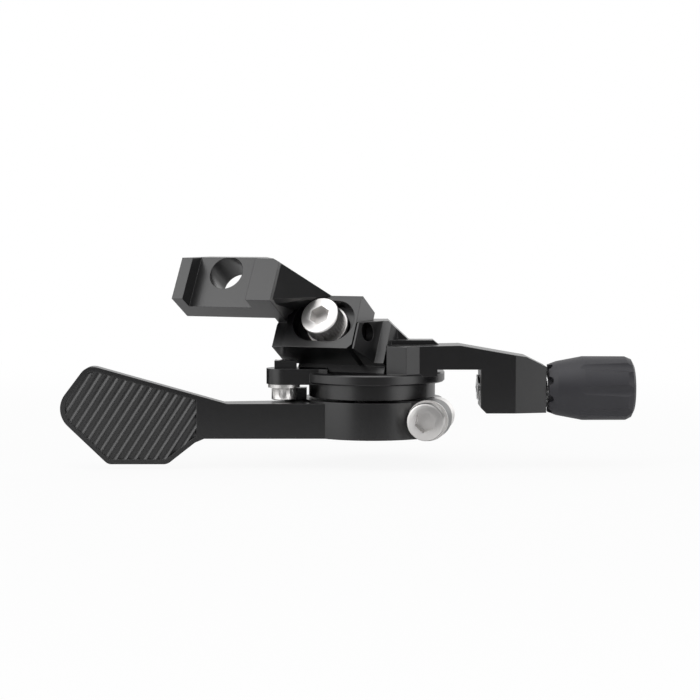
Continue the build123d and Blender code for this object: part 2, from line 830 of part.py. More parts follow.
with BuildPart() as lever:
    with BuildSketch(level(hub_top)):
        Circle(hub_radius)
    extrude(amount=-hub_height)
    with BuildSketch(level(lever_arm_top)):
        with BuildLine():
            Polyline(*arm_plan, close=True)
        make_face()
    extrude(amount=hub_bottom - lever_arm_top)
    with BuildSketch(body_front(lever_front + paddle_thickness)):
        add(paddle_shape())
    extrude(amount=paddle_thickness)
    add(paddle_grooves.part, mode=Mode.SUBTRACT)
    # the small lug that rests against the stop screw's head
    with BuildSketch(level(hub_top - hub_height / 2)):
        with Locations((tab_along, tab_across + stop_head / 2 + stop_touch)):
            Rectangle(stop_lug_length, stop_lug_width, align=(Align.MIN, Align.MIN))
    extrude(amount=stop_lug_height + hub_height / 2)
    with BuildSketch(pinch_plane(lug_back)):
        Circle(lug_radius)
        with Locations((0, lug_radius)):
            Rectangle(hub_height, 2 * lug_radius)
    extrude(amount=pinch_lug)
    with BuildSketch(pinch_plane(lug_front)):
        Circle(pinch_washer_width / 2 + play)
    extrude(amount=lug_front, mode=Mode.SUBTRACT)
    with BuildSketch(pinch_plane(nut_back + play)):
        Circle(collar_width / 2 + play)
    extrude(amount=nut_back + play - lug_back, mode=Mode.SUBTRACT)
    with BuildSketch(pinch_plane(lug_back)):
        Circle(pinch_bolt_size / 2 + running_gap)
    extrude(amount=pinch_lug, mode=Mode.SUBTRACT)
    with BuildSketch(level(hub_top)):
        Circle(bearing_outside / 2 - bearing_lip)
    extrude(amount=-hub_height, mode=Mode.SUBTRACT)
    with BuildSketch(level(bearing_top)):
        Circle(bearing_outside / 2 + seat_gap)
    extrude(amount=-hub_height, mode=Mode.SUBTRACT)
    with BuildSketch(level(bearing_bottom)):
        Circle(bearing_outside / 2 + circlip_grip)
    extrude(amount=-circlip_thickness, mode=Mode.SUBTRACT)

with BuildPart() as pinch_washer:
    with BuildSketch(pinch_plane(lug_front)):
        Circle(pinch_washer_width / 2)
        Circle(pinch_bolt_size / 2 + running_gap, mode=Mode.SUBTRACT)
    extrude(amount=pinch_washer_thickness)

with BuildPart() as pinch_bolt:
    with BuildSketch(pinch_plane(washer_front)):
        Circle(pinch_head / 2)
    extrude(amount=pinch_head_height)
    chamfer(pinch_bolt.edges().sort_by(Axis(pinch_head_face, pinch_axis_dir))[0], head_chamfer)
    with BuildSketch(pinch_plane(nut_back)):
        Circle(pinch_bolt_size / 2)
    extrude(amount=nut_back - washer_front)
    with BuildSketch(pinch_plane(0)):
        RegularPolygon(pinch_key / 2, 6, major_radius=False)
    extrude(amount=-pinch_key_depth, mode=Mode.SUBTRACT)

with BuildPart() as cable_collar:
    with BuildSketch(pinch_plane(collar_back)):
        Circle(collar_width / 2)
        Circle(pinch_bolt_size / 2 + running_gap, mode=Mode.SUBTRACT)
    extrude(amount=collar_thickness)

with BuildPart() as pinch_nut:
    with BuildSketch(pinch_plane(nut_back)):
        Circle(collar_width / 2)
        Circle(pinch_bolt_size / 2 + seat_gap, mode=Mode.SUBTRACT)
    extrude(amount=nut_thickness)


# Barrel adjuster
barrel_left = housing_left - barrel_poke
barrel_head_left = grip_left + grip_wall
barrel_right = barrel_head_left + barrel_head_length
grip_right = grip_left + grip_length

with BuildPart() as adjuster_barrel:
    with BuildSketch(barrel_plane.offset(barrel_left)):
        Circle(barrel_size / 2)
    extrude(amount=barrel_head_left - barrel_left)
    with BuildSketch(barrel_plane.offset(barrel_head_left)):
        Circle(barrel_head / 2)
    extrude(amount=barrel_head_length)
    with BuildSketch(barrel_plane.offset(barrel_left)):
        Circle(cable_bore / 2)
    extrude(amount=barrel_right - barrel_left, mode=Mode.SUBTRACT)
    with BuildSketch(barrel_plane.offset(barrel_right - socket_depth)):
        Circle(housing_socket / 2)
    extrude(amount=socket_depth, mode=Mode.SUBTRACT)

grip_profile = [
    (grip_left, grip_neck / 2),
    (grip_left + grip_bulge_along, grip_neck / 2 + grip_bulge),
    (grip_left + grip_swell, grip_width / 2),
    (grip_right - grip_corner, grip_width / 2),
    (grip_right - grip_round, grip_width / 2 - grip_round),
    (grip_right, grip_width / 2 - grip_corner),
]

with BuildPart() as adjuster_grip:
    with BuildSketch(body_front(barrel_across)):
        with BuildLine():
            Polyline(
                (grip_left, -barrel_drop),
                *[(along, out - barrel_drop) for along, out in grip_profile],
                (grip_right, -barrel_drop),
                close=True,
            )
        make_face()
    revolve(axis=barrel_axis)
    with BuildSketch(barrel_plane.offset(grip_left)):
        Circle(barrel_size / 2 + running_gap)
    extrude(amount=grip_wall, mode=Mode.SUBTRACT)
    with BuildSketch(barrel_plane.offset(barrel_head_left)):
        Circle(barrel_head / 2 + running_gap)
    extrude(amount=barrel_head_length, mode=Mode.SUBTRACT)
    with BuildSketch(barrel_plane.offset(barrel_right)):
        Circle(grip_hole / 2)
    extrude(amount=grip_length, mode=Mode.SUBTRACT)
    # shallow flutes that grow deeper towards the right end
    with Locations(barrel_plane.offset(grip_left + grip_length / 2)):
        with PolarLocations(flute_reach + flute_radius, flute_count):
            Cylinder(flute_radius, 2 * grip_length, rotation=(0, -flute_tilt, 0), mode=Mode.SUBTRACT)
    # notches in the left end's rim
    with Locations(barrel_plane.offset(grip_left)):
        with PolarLocations(grip_neck / 2, flute_count, start_angle=180 / flute_count):
            Cylinder(notch_radius, notch_depth, rotation=(0, 90, 0), mode=Mode.SUBTRACT)


made = {
    "perch_bracket": perch_bracket,
    "clamp_washer": clamp_washer,
    "clamp_bolt": clamp_bolt,
    "main_body": main_body,
    "stop_washer": stop_washer,
    "stop_screw": stop_screw,
    "bearing_spacer": bearing_spacer,
    "bearing_inner_ring": bearing_inner_ring,
    "bearing_outer_ring": bearing_outer_ring,
    "bearing_seal_upper": bearing_seal_upper,
    "bearing_seal_lower": bearing_seal_lower,
    "bearing_balls": bearing_balls,
    "bearing_cage": bearing_cage,
    "bearing_circlip": bearing_circlip,
    "pivot_axle": pivot_axle,
    "axle_cap": axle_cap,
    "axle_bolt": axle_bolt,
    "lever": lever,
    "pinch_washer": pinch_washer,
    "pinch_bolt": pinch_bolt,
    "cable_collar": cable_collar,
    "pinch_nut": pinch_nut,
    "adjuster_barrel": adjuster_barrel,
    "adjuster_grip": adjuster_grip,
}
os.makedirs("parts", exist_ok=True)
for name, piece in made.items():
    piece.part.label = name
    export_step(piece.part, f"parts/{name}.step")
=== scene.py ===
"""Dresses the dropper post remote lever and lights it for its picture.

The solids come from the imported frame. This script gives each of them a finish, makes the four socket screws
and the threaded barrel anew, and sets up the floor, the lamps, the cards and the camera.
"""

from __future__ import annotations

import json
import logging
import math
from dataclasses import dataclass
from enum import Enum
from typing import Any, Callable, Iterable, Sequence

import bpy
from mathutils import Matrix, Vector


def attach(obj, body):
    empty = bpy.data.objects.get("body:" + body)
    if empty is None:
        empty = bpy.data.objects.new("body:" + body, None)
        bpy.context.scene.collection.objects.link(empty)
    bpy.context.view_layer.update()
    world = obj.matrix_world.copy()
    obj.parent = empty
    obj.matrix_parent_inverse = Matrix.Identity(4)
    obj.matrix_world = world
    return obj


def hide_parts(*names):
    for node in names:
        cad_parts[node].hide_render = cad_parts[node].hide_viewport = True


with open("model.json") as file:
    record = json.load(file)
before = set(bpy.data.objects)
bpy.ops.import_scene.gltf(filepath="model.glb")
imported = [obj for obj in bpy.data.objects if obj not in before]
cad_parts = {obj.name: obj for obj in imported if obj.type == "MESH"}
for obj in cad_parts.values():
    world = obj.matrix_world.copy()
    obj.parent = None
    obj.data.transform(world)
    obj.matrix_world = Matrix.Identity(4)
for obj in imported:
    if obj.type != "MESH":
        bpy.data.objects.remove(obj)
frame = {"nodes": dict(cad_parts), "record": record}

LOG = logging.getLogger("remote_lever")
MM = 0.001
WHITE = (1.0, 1.0, 1.0, 1.0)

# The slopes and turns that the solids were drawn with, in degrees, and the pivot, in millimetres
BRACKET_LEAN = 30.0
BODY_TURN = 23.0
PINCH_TURN = 11.3
PIVOT = Vector((27.2, 17.6, -21.7))

# How near a corner has to be to a level or a line to count as on it, in metres
ON_LEVEL = 1e-7
ON_LINE = 1e-6

# How far a cutting tool reaches past what it cuts, in millimetres
CLEAR = 1.0

CHAMFER_STEPS = 2
HEXAGON = 6

# A surface is shaded smooth where it turns by less than this, in degrees
SMOOTH_ANGLE = 32.0

# How many rays the shader's rounding of edges takes
EDGE_SAMPLES = 6

# The Mix node's output for colours, by its number, because the names of its sockets repeat
MIX_COLOUR_OUTPUT = 2


class Body(Enum):
    """The rigid bodies of the frame that new pieces ride on."""

    FRAME = "frame"
    LEVER = "lever"
    BARREL = "barrel"


class Shaping(Enum):
    """What a tool does to a piece."""

    JOIN = "UNION"
    CUT = "DIFFERENCE"


@dataclass(frozen=True)
class Axes:
    """A right-handed set of directions with an origin, in millimetres.

    Args:
        origin: Where the set stands.
        x: Its first direction.
        y: Its second direction.
        z: Its third direction.
    """

    origin: Vector
    x: Vector
    y: Vector
    z: Vector

    def point(self, x: float, y: float, z: float) -> Vector:
        """Returns the place of local coordinates in the row frame, in millimetres."""
        return self.origin + self.x * x + self.y * y + self.z * z


def bracket_axes() -> Axes:
    """Returns the bracket's directions: along the bar, up its face, and out of it."""
    lean = math.radians(BRACKET_LEAN)
    return Axes(
        Vector((0, 0, 0)),
        Vector((1, 0, 0)),
        Vector((0, math.sin(lean), math.cos(lean))),
        Vector((0, -math.cos(lean), math.sin(lean))),
    )


def body_axes() -> Axes:
    """Returns the body's directions at the pivot: along the arm, to the back, and up."""
    turn = math.radians(BODY_TURN)
    return Axes(
        PIVOT,
        Vector((math.cos(turn), math.sin(turn), 0)),
        Vector((-math.sin(turn), math.cos(turn), 0)),
        Vector((0, 0, 1)),
    )


def outward(azimuth: float, elevation: float) -> Vector:
    """Returns the direction from the pivot to something round it.

    Args:
        azimuth: Its bearing, in degrees.
        elevation: Its height over the horizon, in degrees.

    Returns:
        The direction, one unit long.
    """
    turn = math.radians(azimuth)
    rise = math.radians(elevation)
    return Vector((math.sin(turn) * math.cos(rise), -math.cos(turn) * math.cos(rise), math.sin(rise)))


# Shader graphs


@dataclass(frozen=True)
class Noise:
    """A pattern of smooth noise.

    Args:
        scale: Bumps per metre.
        detail: Octaves.
        roughness: How much the finer octaves count.
    """

    scale: float
    detail: float
    roughness: float = 0.5


@dataclass(frozen=True)
class Relief:
    """How a surface's grain and edges catch the light.

    Args:
        strength: How much of the grain shows.
        depth: The grain's depth in metres.
        edge: The radius of the edges' rounding in metres.
    """

    strength: float
    depth: float
    edge: float


class Graph:
    """The node tree of a material or of the world. Every node of it is added here."""

    def __init__(self, owner: bpy.types.Material | bpy.types.World) -> None:
        """Starts an empty tree.

        Args:
            owner: The material or world that the tree is for.
        """
        owner.use_nodes = True
        self.owner = owner
        self.tree = owner.node_tree
        self.tree.nodes.clear()

    def add(self, kind: str, settings: dict[str, Any] | None = None, **inputs: Any) -> bpy.types.Node:
        """Adds a node.

        Args:
            kind: The node's type.
            settings: Properties of the node, which are set first.
            **inputs: Values or wires of its sockets, by name with underscores for spaces, or by number as n0.

        Returns:
            The node.
        """
        node = self.tree.nodes.new(kind)
        for key, value in (settings or {}).items():
            setattr(node, key, value)
        for key, value in inputs.items():
            number = key[1:]
            by_number = key.startswith("n") and number.isdigit()
            socket = node.inputs[int(number) if by_number else key.replace("_", " ")]
            if isinstance(value, Wire):
                self.tree.links.new(value.socket, socket)
            else:
                socket.default_value = value
        return node

    def wire(self, node: bpy.types.Node, output: str | int = 0) -> "Wire":
        """Returns an output of a node, wrapped so that maths can be written on it."""
        return Wire(self, node.outputs[output])

    def place(self) -> "Wire":
        """Returns the place on the object, in metres."""
        return self.wire(self.add("ShaderNodeTexCoord"), "Object")

    def noise(self, pattern: Noise) -> "Wire":
        """Adds smooth noise.

        Args:
            pattern: What it is like.

        Returns:
            The noise, from 0 to 1.
        """
        node = self.add(
            "ShaderNodeTexNoise",
            Vector=self.place(),
            Scale=pattern.scale,
            Detail=pattern.detail,
            Roughness=pattern.roughness,
        )
        return self.wire(node, "Fac")

    def mix(self, factor: "Wire", low: Sequence[float], high: Sequence[float]) -> "Wire":
        """Mixes two colours.

        Args:
            factor: How much of the second there is, from 0 to 1.
            low: The first colour.
            high: The second colour.

        Returns:
            The colour between them.
        """
        node = self.add("ShaderNodeMix", {"data_type": "RGBA"}, n0=factor, n6=(*low, 1.0), n7=(*high, 1.0))
        return self.wire(node, MIX_COLOUR_OUTPUT)

    def bump(self, height: "Wire", relief: Relief) -> "Wire":
        """Adds a grain, and rounds the sharp edges.

        Args:
            height: The grain, from 0 to 1.
            relief: How it and the edges catch the light.

        Returns:
            The normal.
        """
        rounded = self.wire(self.add("ShaderNodeBevel", {"samples": EDGE_SAMPLES}, Radius=relief.edge))
        node = self.add(
            "ShaderNodeBump", Strength=relief.strength, Distance=relief.depth, Height=height, Normal=rounded
        )
        return self.wire(node)

    def finish(self, **inputs: Any) -> bpy.types.Material:
        """Adds the shader and the output.

        Args:
            **inputs: Values or wires of the shader's sockets, as add takes them.

        Returns:
            The material.
        """
        shader = self.add("ShaderNodeBsdfPrincipled", **inputs)
        self.add("ShaderNodeOutputMaterial", Surface=self.wire(shader))
        return self.owner


@dataclass(frozen=True)
class Wire:
    """An output socket that adds its Math nodes as it is calculated with.

    Args:
        graph: The tree that it belongs to.
        socket: The output.
    """

    graph: Graph
    socket: bpy.types.NodeSocket

    def _maths(self, operation: str, left: "Wire | float", right: "Wire | float") -> "Wire":
        """Adds one Math node."""
        return self.graph.wire(self.graph.add("ShaderNodeMath", {"operation": operation}, n0=left, n1=right))

    def __add__(self, other: "Wire | float") -> "Wire":
        """Adds."""
        return self._maths("ADD", self, other)

    __radd__ = __add__

    def __mul__(self, other: "Wire | float") -> "Wire":
        """Multiplies."""
        return self._maths("MULTIPLY", self, other)

    __rmul__ = __mul__

    def __sub__(self, other: "Wire | float") -> "Wire":
        """Subtracts."""
        return self._maths("SUBTRACT", self, other)

    def __rsub__(self, other: "Wire | float") -> "Wire":
        """Subtracts from."""
        return self._maths("SUBTRACT", other, self)

    def __or__(self, other: "Wire | float") -> "Wire":
        """Takes the larger of two."""
        return self._maths("MAXIMUM", self, other)

    __ror__ = __or__


# Finishes


@dataclass(frozen=True)
class Finish:
    """What every finish has.

    Args:
        name: The material's name.
        dark: The base colour at its darkest.
        light: The base colour at its lightest.
        roughness: The middle of the roughness.
        spread: How far the roughness varies.
    """

    name: str
    dark: tuple[float, float, float]
    light: tuple[float, float, float]
    roughness: float
    spread: float

    def make(self) -> bpy.types.Material:
        """Builds the material."""
        raise NotImplementedError


@dataclass(frozen=True)
class Anodised(Finish):
    """Bead-blasted aluminium with a dark anodised skin.

    Args:
        cloud: How the colour varies over the piece.
        grain: The blasted grain.
        relief: How the grain and the edges catch the light.
        ior: The skin's index of refraction.
    """

    cloud: Noise = Noise(scale=160.0, detail=3.0)
    grain: Noise = Noise(scale=4200.0, detail=1.0, roughness=0.6)
    relief: Relief = Relief(strength=0.35, depth=0.000012, edge=0.00018)
    ior: float = 1.7

    def make(self) -> bpy.types.Material:
        """Builds the material."""
        graph = Graph(bpy.data.materials.new(self.name))
        cloud = graph.noise(self.cloud)
        grain = graph.noise(self.grain)
        return graph.finish(
            Base_Color=graph.mix(cloud, self.dark, self.light),
            Roughness=cloud * self.spread + grain * self.spread + (self.roughness - self.spread),
            Normal=graph.bump(grain, self.relief),
            Metallic=0.0,
            IOR=self.ior,
        )


@dataclass(frozen=True)
class Steel(Finish):
    """Bare metal, turned or ground, with faint marks of the tool.

    Args:
        cloud: How the colour varies over the piece.
        marks: The marks of the tool.
        relief: How the marks and the edges catch the light.
    """

    cloud: Noise = Noise(scale=300.0, detail=3.0)
    marks: Noise = Noise(scale=1500.0, detail=2.0, roughness=0.7)
    relief: Relief = Relief(strength=0.2, depth=0.000006, edge=0.00005)

    def make(self) -> bpy.types.Material:
        """Builds the material."""
        graph = Graph(bpy.data.materials.new(self.name))
        cloud = graph.noise(self.cloud)
        marks = graph.noise(self.marks)
        return graph.finish(
            Base_Color=graph.mix(cloud, self.dark, self.light),
            Roughness=marks * self.spread + (self.roughness - self.spread / 2),
            Normal=graph.bump(marks, self.relief),
            Metallic=1.0,
        )


@dataclass(frozen=True)
class Moulded(Finish):
    """Rubber or nylon out of a mould, with the mould's fine texture.

    Args:
        cloud: How the colour varies over the piece.
        grain: The mould's texture.
        relief: How the texture and the edges catch the light.
    """

    cloud: Noise = Noise(scale=220.0, detail=4.0, roughness=0.6)
    grain: Noise = Noise(scale=2600.0, detail=2.0, roughness=0.6)
    relief: Relief = Relief(strength=0.4, depth=0.00002, edge=0.0002)

    def make(self) -> bpy.types.Material:
        """Builds the material."""
        graph = Graph(bpy.data.materials.new(self.name))
        cloud = graph.noise(self.cloud)
        grain = graph.noise(self.grain)
        return graph.finish(
            Base_Color=graph.mix(cloud, self.dark, self.light),
            Roughness=grain * self.spread + (self.roughness - self.spread / 2),
            Normal=graph.bump(grain, self.relief),
            Metallic=0.0,
        )


# The finish of each material slot in the record
FINISHES: dict[str, Finish] = {
    "anodised_black": Anodised(
        "anodised_black",
        dark=(0.003, 0.0029, 0.0035),
        light=(0.0045, 0.0044, 0.0051),
        roughness=0.31,
        spread=0.04,
    ),
    "stainless": Steel(
        "bolt_steel", dark=(0.76, 0.745, 0.735), light=(0.86, 0.845, 0.83), roughness=0.38, spread=0.12
    ),
    "bearing_steel": Steel(
        "bearing_steel", dark=(0.58, 0.58, 0.59), light=(0.66, 0.66, 0.67), roughness=0.12, spread=0.05
    ),
    "spring_steel": Steel(
        "spring_steel", dark=(0.05, 0.05, 0.055), light=(0.09, 0.09, 0.095), roughness=0.35, spread=0.1
    ),
    "barrel_alloy": Steel(
        "barrel_alloy", dark=(0.72, 0.72, 0.73), light=(0.8, 0.8, 0.8), roughness=0.26, spread=0.1
    ),
    "grip_rubber": Moulded(
        "grip_rubber",
        dark=(0.022, 0.0215, 0.0265),
        light=(0.032, 0.0315, 0.0375),
        roughness=0.5,
        spread=0.12,
    ),
    "seal_rubber": Moulded(
        "seal_rubber", dark=(0.012, 0.012, 0.013), light=(0.02, 0.02, 0.021), roughness=0.5, spread=0.1
    ),
    "cage_nylon": Moulded(
        "cage_nylon", dark=(0.62, 0.57, 0.45), light=(0.7, 0.66, 0.54), roughness=0.45, spread=0.08
    ),
}


class Wardrobe:
    """Makes each finish once and puts it on pieces."""

    def __init__(self) -> None:
        """Starts with no finish made."""
        self.made: dict[str, bpy.types.Material] = {}

    def dress(self, piece: bpy.types.Object, slot: str) -> None:
        """Puts the finish of a material slot on a piece.

        Args:
            piece: The object.
            slot: The record's name for its material.
        """
        if slot not in self.made:
            self.made[slot] = FINISHES[slot].make()
        if not piece.material_slots:
            piece.data.materials.append(self.made[slot])
        for place in piece.material_slots:
            place.material = self.made[slot]


# Modelling


def deselect() -> None:
    """Leaves nothing selected, in object mode."""
    if bpy.context.mode != "OBJECT":
        bpy.ops.object.mode_set(mode="OBJECT")
    bpy.ops.object.select_all(action="DESELECT")


def pick(piece: bpy.types.Object, wanted: Callable[[Vector], bool]) -> None:
    """Selects the corners whose place passes a test.

    Args:
        piece: The object, which is active and in edit mode.
        wanted: The test on a local place.
    """
    bpy.ops.mesh.select_all(action="DESELECT")
    bpy.ops.mesh.select_mode(type="VERT")
    bpy.ops.object.mode_set(mode="OBJECT")
    for vertex in piece.data.vertices:
        vertex.select = wanted(vertex.co)
    bpy.ops.object.mode_set(mode="EDIT")


def chamfer_rim(piece: bpy.types.Object, level: float, width: float) -> None:
    """Chamfers the rim of a round piece at one level.

    Args:
        piece: The object, which is active and in edit mode.
        level: The rim's place on the Z axis, in metres.
        width: The chamfer's width in metres.
    """
    pick(piece, lambda place: abs(place.z - level) < ON_LEVEL)
    bpy.ops.mesh.select_mode(type="EDGE")
    bpy.ops.mesh.bevel(offset=width, segments=CHAMFER_STEPS, affect="EDGES")


def cylinder(radius: float, low: float, high: float, sides: int) -> bpy.types.Object:
    """Adds a cylinder on the Z axis with its origin at the world's.

    Args:
        radius: Its radius in metres.
        low: Its lower end.
        high: Its upper end.
        sides: How many sides it has.

    Returns:
        The object, active and the only one selected.
    """
    deselect()
    middle = (low + high) / 2
    bpy.ops.mesh.primitive_cylinder_add(
        vertices=sides, radius=radius, depth=high - low, location=(0, 0, middle), end_fill_type="NGON"
    )
    piece = bpy.context.active_object
    bpy.ops.object.transform_apply(location=True, rotation=True, scale=True)
    return piece


def combine(piece: bpy.types.Object, tool: bpy.types.Object, shaping: Shaping) -> None:
    """Joins a tool to a piece, or cuts it out, and deletes the tool.

    Args:
        piece: The object that stays.
        tool: The object that is used up.
        shaping: What the tool does.
    """
    deselect()
    bpy.context.view_layer.objects.active = piece
    piece.select_set(True)
    modifier = piece.modifiers.new("shape", "BOOLEAN")
    modifier.operation = shaping.value
    modifier.solver = "EXACT"
    modifier.object = tool
    bpy.ops.object.modifier_apply(modifier=modifier.name)
    bpy.data.objects.remove(tool, do_unlink=True)


def seat(piece: bpy.types.Object, place: Vector, out: Vector) -> None:
    """Moves a piece's mesh so that its Z axis points out from a place, and leaves its object at the origin.

    Args:
        piece: The object, modelled on the Z axis in metres.
        place: Where its origin goes, in millimetres.
        out: Where its Z axis points.
    """
    turn = Vector((0, 0, 1)).rotation_difference(out.normalized()).to_matrix().to_4x4()
    piece.data.transform(Matrix.Translation(place * MM) @ turn)
    piece.data.update()


def smooth(piece: bpy.types.Object) -> None:
    """Shades a piece smooth, apart from its sharp edges.

    Args:
        piece: The object.
    """
    deselect()
    bpy.context.view_layer.objects.active = piece
    piece.select_set(True)
    bpy.ops.object.shade_smooth_by_angle(angle=math.radians(SMOOTH_ANGLE))


@dataclass(frozen=True)
class SocketScrew:
    """A socket head screw, all sizes in millimetres.

    Args:
        node: The CAD node that it stands for.
        body: The body that it rides on.
        place: The middle of the head's under side.
        out: Where the head points.
        head: The head's diameter.
        height: The head's height.
        shank: The shank's diameter.
        length: The shank's length under the head.
        key: The socket's width across flats.
        key_depth: The socket's depth.
        ridges: How many ridges the knurl has, or 0 for a plain head.
        crown: How far the head's top edge is chamfered. The lower edge has half of it.
        knurl: The radius of the lines between the ridges, as a share of the head's.
        knurl_start: Where the knurl starts, as a share of the head's height.
        knurl_end: How far under the head's top it ends, in crowns.
        side: The share of the head's radius past which a corner is on its side.
        lap: How far the shank reaches into the head.
        plain_sides: How many sides a head without a knurl has.
        shank_sides: How many sides the shank has.
        mouth_sides: How many sides the socket's chamfered mouth has.
        mouth_radius: The radius of the cone that cuts the mouth, as a share of the socket's.
        mouth_depth: That cone's height, as a share of the same.
        mouth_rise: How far its middle is under the head's top, as a share of the same.
        mouth_tip: The radius of its tip, in metres.
    """

    node: str
    body: Body
    place: Vector
    out: Vector
    head: float
    height: float
    shank: float
    length: float
    key: float
    key_depth: float
    ridges: int
    crown: float
    knurl: float = 0.955
    knurl_start: float = 0.16
    knurl_end: float = 1.9
    side: float = 0.97
    lap: float = 0.2
    plain_sides: int = 64
    shank_sides: int = 48
    mouth_sides: int = 32
    mouth_radius: float = 1.12
    mouth_depth: float = 0.6
    mouth_rise: float = 0.15
    mouth_tip: float = 1e-5

    def build(self) -> bpy.types.Object:
        """Models the screw.

        Returns:
            The screw, at its place.
        """
        sides = 2 * self.ridges if self.ridges else self.plain_sides
        piece = cylinder(self.head / 2 * MM, 0, self.height * MM, sides)
        piece.name = f"{self.node}_knurled" if self.ridges else f"{self.node}_turned"
        bpy.ops.object.mode_set(mode="EDIT")
        chamfer_rim(piece, self.height * MM, self.crown * MM)
        chamfer_rim(piece, 0.0, self.crown / 2 * MM)
        if self.ridges:
            self._knurl(piece)
        bpy.ops.object.mode_set(mode="OBJECT")
        self._socket(piece)
        shank = cylinder(self.shank / 2 * MM, -self.length * MM, self.lap * MM, self.shank_sides)
        combine(piece, shank, Shaping.JOIN)
        seat(piece, self.place, self.out)
        smooth(piece)
        return piece

    def _knurl(self, piece: bpy.types.Object) -> None:
        """Sinks every second line of the head's side, to leave ridges between them.

        Args:
            piece: The head, in edit mode.
        """
        bottom = self.knurl_start * self.height * MM
        top = (self.height - self.knurl_end * self.crown) * MM
        for level in (bottom, top):
            bpy.ops.mesh.select_all(action="SELECT")
            bpy.ops.mesh.bisect(plane_co=(0, 0, level), plane_no=(0, 0, 1))
        step = math.pi / self.ridges
        radius = self.head / 2 * MM

        def sunk(place: Vector) -> bool:
            """Says whether a corner is on a line between two ridges."""
            line = round(math.atan2(place.y, place.x) / step)
            on_side = math.hypot(place.x, place.y) > self.side * radius
            return on_side and line % 2 == 1 and bottom - ON_LINE < place.z < top + ON_LINE

        pick(piece, sunk)
        bpy.ops.transform.resize(value=(self.knurl, self.knurl, 1.0), center_override=(0, 0, 0))

    def _socket(self, piece: bpy.types.Object) -> None:
        """Cuts the hexagonal socket, with a chamfered mouth.

        Args:
            piece: The head.
        """
        across = self.key / math.cos(math.pi / HEXAGON) / 2 * MM
        floor = (self.height - self.key_depth) * MM
        hexagon = cylinder(across, floor, (self.height + CLEAR) * MM, HEXAGON)
        combine(piece, hexagon, Shaping.CUT)
        deselect()
        bpy.ops.mesh.primitive_cone_add(
            vertices=self.mouth_sides,
            radius1=self.mouth_tip,
            radius2=across * self.mouth_radius,
            depth=across * self.mouth_depth,
            location=(0, 0, self.height * MM - across * self.mouth_rise),
        )
        mouth = bpy.context.active_object
        bpy.ops.object.transform_apply(location=True, rotation=True, scale=True)
        combine(piece, mouth, Shaping.CUT)


